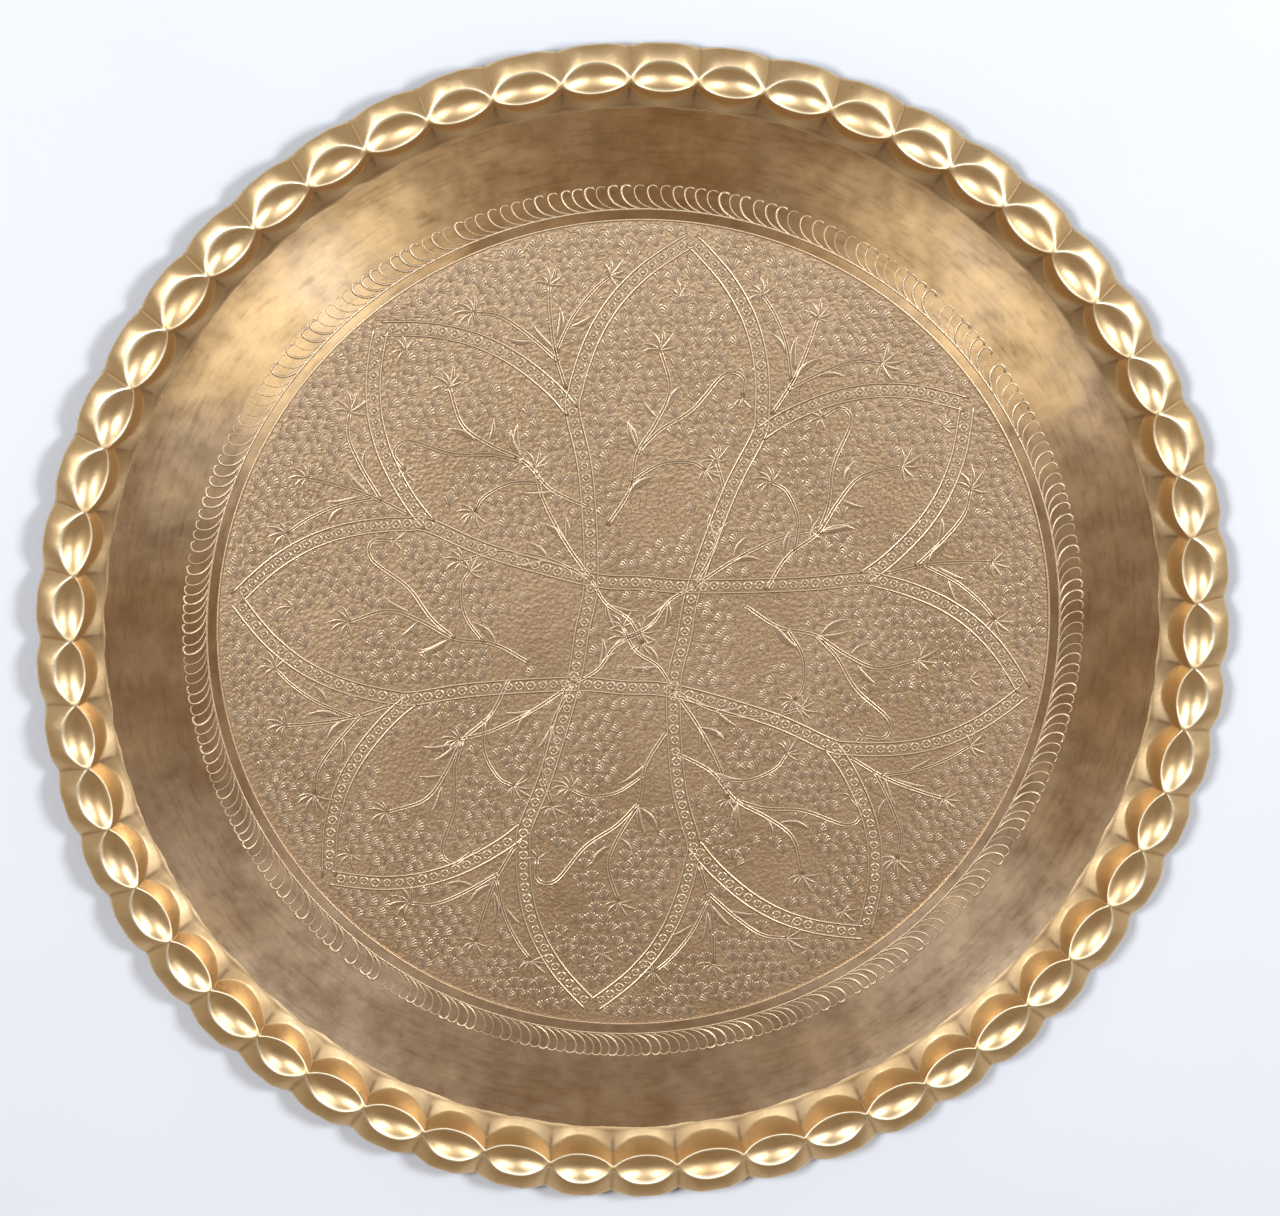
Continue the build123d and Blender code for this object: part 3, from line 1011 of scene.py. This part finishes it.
def dash_mesh(length, width, height):
    """A small stroke: a low ridge that runs out at both ends, along X."""
    x, y = length / 2, width / 2
    points = [(-x, 0, -ROOT), (0, -y, -ROOT), (x, 0, -ROOT), (0, y, -ROOT),
              (-x * 0.6, 0, height), (x * 0.6, 0, height)]
    return points, [(3, 2, 1, 0), (0, 1, 4), (1, 5, 4), (1, 2, 5), (2, 3, 5), (3, 4, 5), (3, 0, 4)]


def staggered_places(pitch, stray, margin, rng):
    """Places in staggered rows over the medallion, each a little off its row."""
    count = int(2 * MEDALLION_RADIUS / pitch) + 2
    rows, columns = np.mgrid[-count:count, -count:count].reshape(2, -1)
    places = np.stack([columns * pitch + rows % 2 * pitch / 2, rows * pitch * ROW_GAP], axis=1)
    places = places + rng.normal(0, pitch * stray, places.shape)
    return places[np.hypot(places[:, 0], places[:, 1]) < MEDALLION_RADIUS - margin]


def stay_clear(places, clouds):
    """Which places keep their distance from every cloud of points."""
    clear = np.ones(len(places), bool)
    batch = 400
    for cloud, room in clouds:
        for start in range(0, len(places), batch):
            gap = np.linalg.norm(places[start:start + batch, None] - cloud[None], axis=2).min(axis=1)
            clear[start:start + batch] &= gap > room
    return clear


def lay_ground(ground, finish):
    """The medallion's sheet, beaten down below the rings round it."""
    steps, rings = 300, 39
    profile = [(r, ground) for r in np.linspace(0, MEDALLION_RADIUS, rings + 1)[1:]]
    profile.append((MEDALLION_RADIUS, 0))
    count = len(profile)
    points, faces = lathe(profile, steps)
    faces = [f[::-1] for f in faces if f[0] % count != count - 1]
    points = np.vstack([points, [(0, 0, ground), (0, 0, 0)]])
    middle = len(points) - 2
    for i in range(steps):
        j = (i + 1) % steps
        faces.append((middle, i * count, j * count))
        faces.append((middle + 1, j * count + count - 1, i * count + count - 1))
    sheet = new_object("medallion_ground", points, faces, smooth=False)
    finish_with(sheet, finish)
    keep(sheet, "chased_brass", "chased_medallion")


def lay_double_lines(name, tracks, width, height, ground, finish):
    """Two raised lines along every track. A track is a path and the distance between its lines."""
    parts = [
        ribbon(offset_path(path, side * gap), width, height, ground - ROOT)
        for path, gap in tracks
        for side in (-0.5, 0.5)
    ]
    lines = new_object(name, *join_parts(parts))
    finish_with(lines, finish)
    keep(lines, "chased_brass")


def lay_beads(chasing, paths, ground, finish, rng):
    """Beads along the bands, left out where one is already close by. Gives back their places."""
    places, turns = [], []
    for path in paths:
        even = smooth_path(path, max(3, int(round(path_length(path) / chasing.bead_pitch))))
        for x, y in even[1:-1]:
            stray = rng.normal(0, 0.3 * MM, 2)
            places.append((x + stray[0], y + stray[1], ground))
            turns.append(rng.uniform(0, tau))
    places = np.array(places)
    chosen = []
    for i, place in enumerate(places):
        if all(np.hypot(*(place - places[j])[:2]) > chasing.bead_size * 0.75 for j in chosen):
            chosen.append(i)
    places, turns = places[chosen], np.array(turns)[chosen]
    bead = new_object("bead", *bead_mesh(chasing.bead_size, chasing.line_height * 0.8), smooth=False)
    beads = scatter("band_beads", places, turns, rng.uniform(0.88, 1.1, len(places)), bead, finish)
    keep(beads, "chased_brass")
    return places[:, :2]


def lay_leaves(chasing, leaves, flowers, ground, finish, rng):
    """Single leaves, and fans of petals. Gives back the places that they take up."""
    spots, spins, sizes, taken = [], [], [], []
    for place, turn, length in leaves:
        foot = np.array(place) * ROPE_INNER
        spots.append((*foot, ground))
        spins.append(turn + rng.normal(0, 0.08))
        sizes.append((length * rng.choice([-1, 1]) / LEAF_LENGTH, length / LEAF_LENGTH, 1.0))
        taken.append(foot + np.outer(np.linspace(0.1, 1, 4), pointing(turn) * length * MM))
    for place, turn, length, petals in flowers:
        fan = np.linspace(-1.5, 1.5, petals) + rng.normal(0, 0.07, petals)
        foot = np.array(place) * ROPE_INNER
        taken.append([foot + pointing(turn) * length * 0.5 * MM])
        for a in fan:
            size = length / LEAF_LENGTH * rng.uniform(0.85, 1.1) * (1 - 0.12 * abs(a))
            spots.append((*foot, ground))
            spins.append(turn + a)
            sizes.append((size * 0.95, size, 1.0))
            taken.append([foot + pointing(turn + a) * length * 0.7 * MM])
    spots, spins, sizes = np.array(spots), np.array(spins), np.array(sizes)
    mirrored = sizes[:, 0] < 0
    sizes[:, 0] = np.abs(sizes[:, 0])
    for name, pick, bend in (("spray_leaves", ~mirrored, 0.12), ("spray_leaves_left", mirrored, -0.12)):
        leaf = new_object(
            name + "_shape", *leaf_mesh(LEAF_LENGTH * MM, 6.2 * MM, chasing.line_height, bend))
        piece = scatter(name, spots[pick], spins[pick], sizes[pick], leaf, finish)
        keep(piece, "chased_brass")
    return np.vstack(taken)


def lay_shells(chasing, clouds, ground, finish, rng):
    """Punched shells, close together near the medallion's edge and in patches inside it."""
    places = staggered_places(chasing.shell_pitch, 0.13, 6.5 * MM, rng)
    x, y = places.T
    patches = np.sin(x * 31 + 1) * np.cos(y * 27) + rng.normal(0, 0.25, len(places))
    wanted = (np.hypot(x, y) > MEDALLION_RADIUS * 0.78) | (patches > -0.4)
    places = places[wanted & stay_clear(places, clouds)]
    x, y = places.T
    lean = 0.5 * np.sin(x * 11 + 1.3) + 0.5 * np.cos(y * 13) + rng.normal(0, 0.25, len(places))
    shell = new_object(
        "shell", *shell_mesh(chasing.shell_size, chasing.line_height * 0.6), smooth=False)
    shells = scatter("punched_shells", np.column_stack([places, np.full(len(places), ground)]), lean,
                     rng.uniform(0.85, 1.08, len(places)), shell, finish)
    keep(shells, "chased_brass")
    return places


def lay_dashes(chasing, clouds, ground, finish, rng):
    """Small strokes that fill what is left of the ground."""
    places = staggered_places(chasing.dash_pitch, 0.2, 3.0 * MM, rng)
    places = places[stay_clear(places, clouds)]
    x, y = places.T
    flow = 2.2 * np.sin(x * 17 + 2) + 2.2 * np.cos(y * 15) + rng.normal(0, 0.35, len(places))
    dash = new_object("dash", *dash_mesh(7.6 * MM, 1.3 * MM, chasing.line_height * 0.85), smooth=False)
    dashes = scatter("ground_dashes", np.column_stack([places, np.full(len(places), ground)]), flow,
                     rng.uniform(0.6, 1.2, len(places)), dash, finish)
    keep(dashes, "chased_brass")


class TRAY_OT_medallion(bpy.types.Operator):
    """Beats down the medallion's ground and chases the beaded bands, sprays and shells on it"""

    bl_idname = "tray.medallion"
    bl_label = "Chased medallion"

    def execute(self, context):
        chasing = context.scene.tray_chasing
        ground = SHEET - chasing.ground_drop
        line_height = chasing.line_height
        # raised work darker at its foot, patina and painted shade, and tinted paler, polish and painted
        # highlight; the beaten ground gets neither
        relief = chased_brass(
            context.scene.tray_finish, "chased_relief_brass", ground + 0.2 * line_height,
            ground + 0.6 * line_height, shine=0.42, pale=0.18, foot_patina_and_shade=0.75, matted=0.1)
        beaten = chased_brass(
            context.scene.tray_finish, "beaten_ground_brass", -1.0, 0.0,
            shine=0.42, pale=0.0, foot_patina_and_shade=0.0, matted=0.45)
        rng = np.random.default_rng(chasing.seed)
        lay_ground(ground, beaten)

        bands = band_paths()
        tracks = [(path, chasing.band_width) for path in bands]
        lay_double_lines("band_lines", tracks, chasing.line_width, line_height, ground, relief)
        beads = lay_beads(chasing, bands, ground, relief, rng)

        stems, leaves, flowers = sprays()
        tracks = []
        for points, gap in stems:
            path = np.array(points) * ROPE_INNER
            tracks.append((smooth_path(path, max(8, int(path_length(path) / 0.005))), gap * MM))
        lay_double_lines("spray_stems", tracks, 1.15 * MM, line_height * 0.95, ground, relief)
        foliage = lay_leaves(chasing, leaves, flowers, ground, relief, rng)

        lines = np.vstack(bands)
        band_half = chasing.band_width / 2
        taken = np.vstack([beads, *(path for path, _ in tracks), foliage])
        clouds = ((lines, band_half + 4.8 * MM), (taken, 5.6 * MM))
        shells = lay_shells(chasing, clouds, ground, relief, rng)
        clouds = ((lines, band_half + 1.5 * MM), (taken, 2.8 * MM), (shells, 5.6 * MM))
        lay_dashes(chasing, clouds, ground, relief, rng)
        return {"FINISHED"}


# ---------------------------------------------------------------- stage

def soft_light(name, direction, distance, size, power, colour):
    """A large soft light that looks at the tray."""
    data = bpy.data.lights.new(name, "AREA")
    data.shape = "RECTANGLE"
    data.size, data.size_y = size
    data.energy = power
    data.color = colour
    light = bpy.data.objects.new(name, data)
    bpy.context.scene.collection.objects.link(light)
    direction = Vector(direction).normalized()
    light.location = direction * distance
    light.rotation_mode = "QUATERNION"
    light.rotation_quaternion = direction.to_track_quat("Z", "Y")
    return light


class TRAY_OT_stage(bpy.types.Operator):
    """Sets the pale floor, the soft lights and the camera"""

    bl_idname = "tray.stage"
    bl_label = "Stage"

    def execute(self, context):
        stage = context.scene.tray_stage
        material, tree, shader, place = new_finish("pale_floor")
        tone = between(tree, noise(tree, place, 3.0, 3.0, 0.5), 0.3, 0.7, 0.97, 1.0)
        tree.links.new(mix(tree, 1.0, stage.floor_colour[:], add(tree, "ShaderNodeCombineColor", {
            0: tone, 1: tone, 2: tone}).outputs[0], "MULTIPLY"), shader.inputs["Base Color"])
        shader.inputs["Roughness"].default_value = 0.8
        side = 6.0
        floor = new_object("floor", [(-side, -side, 0), (side, -side, 0), (side, side, 0), (-side, side, 0)],
                           [(0, 1, 2, 3)])
        finish_with(floor, material)

        soft_light("right_softbox", (0.60, 0.25, 0.76), 4.4, (1.2, 1.2), stage.key_power, (0.88, 1.0, 1.2))
        soft_light("left_softbox", (-0.43, 0.25, 0.87), 4.4, (1.2, 1.2), stage.key_power, (0.88, 1.0, 1.2))

        world = bpy.data.worlds.new("room")
        world.use_nodes = True
        nodes = world.node_tree
        nodes.nodes.clear()
        height = axis_of(nodes, add(nodes, "ShaderNodeTexCoord").outputs["Generated"], "Z")
        low = between(nodes, height, 0.50, 0.86)
        back = add(nodes, "ShaderNodeBackground", {
            "Color": mix(nodes, low, (0.38, 0.34, 0.29), (0.17, 0.106, 0.055)), "Strength": 1.0})
        nodes.links.new(back.outputs[0], nodes.nodes.new("ShaderNodeOutputWorld").inputs[0])
        context.scene.world = world
        context.scene.view_settings.view_transform = "Standard"

        data = bpy.data.cameras.new("camera")
        data.sensor_width = 36.0
        data.lens = 151.26
        camera = bpy.data.objects.new("camera", data)
        context.scene.collection.objects.link(camera)
        direction = Vector((-sin(stage.swing), sin(stage.tilt), 1.0))
        direction.z = (1 - direction.x ** 2 - direction.y ** 2) ** 0.5
        spot = direction * stage.distance
        aim = Vector((3.8 * MM, 18.5 * MM, 0.0))
        back_axis = (spot - aim).normalized()
        right = Vector((0, 1, 0)).cross(back_axis).normalized()
        up = back_axis.cross(right)
        camera.matrix_world = Matrix((
            (right.x, up.x, back_axis.x, spot.x), (right.y, up.y, back_axis.y, spot.y),
            (right.z, up.z, back_axis.z, spot.z), (0, 0, 0, 1)))
        data.clip_start, data.clip_end = 0.1, 50.0
        context.scene.camera = camera
        return {"FINISHED"}


# ---------------------------------------------------------------- panel and registration

OPERATORS = (
    TRAY_OT_plain_field, TRAY_OT_lobed_rim, TRAY_OT_rope_border, TRAY_OT_inner_ring, TRAY_OT_medallion,
    TRAY_OT_stage,
)
SETTINGS = (
    ("tray_rim", TrayRimSettings), ("tray_floor", TrayFloorSettings), ("tray_chasing", TrayChasingSettings),
    ("tray_finish", TrayFinishSettings), ("tray_stage", TrayStageSettings),
)


class TRAY_PT_panel(bpy.types.Panel):
    """The tray's pieces and their sizes"""

    bl_label = "Brass Tray"
    bl_idname = "TRAY_PT_panel"
    bl_space_type = "VIEW_3D"
    bl_region_type = "UI"
    bl_category = "Brass Tray"

    def draw(self, context):
        for operator in OPERATORS:
            self.layout.operator(operator.bl_idname)
        for name, group in SETTINGS:
            box = self.layout.box()
            box.label(text=group.__doc__)
            for key in group.__annotations__:
                box.prop(getattr(context.scene, name), key)


def register():
    for name, group in SETTINGS:
        bpy.utils.register_class(group)
        setattr(bpy.types.Scene, name, PointerProperty(type=group))
    for cls in (*OPERATORS, TRAY_PT_panel):
        bpy.utils.register_class(cls)


def unregister():
    for cls in (TRAY_PT_panel, *reversed(OPERATORS)):
        bpy.utils.unregister_class(cls)
    for name, group in reversed(SETTINGS):
        delattr(bpy.types.Scene, name)
        bpy.utils.unregister_class(group)


def main():
    register()
    bpy.ops.tray.plain_field()
    bpy.ops.tray.lobed_rim()
    bpy.ops.tray.rope_border()
    bpy.ops.tray.inner_ring()
    bpy.ops.tray.medallion()
    bpy.ops.tray.stage()
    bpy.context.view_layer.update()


if __name__ == "__main__":
    main()
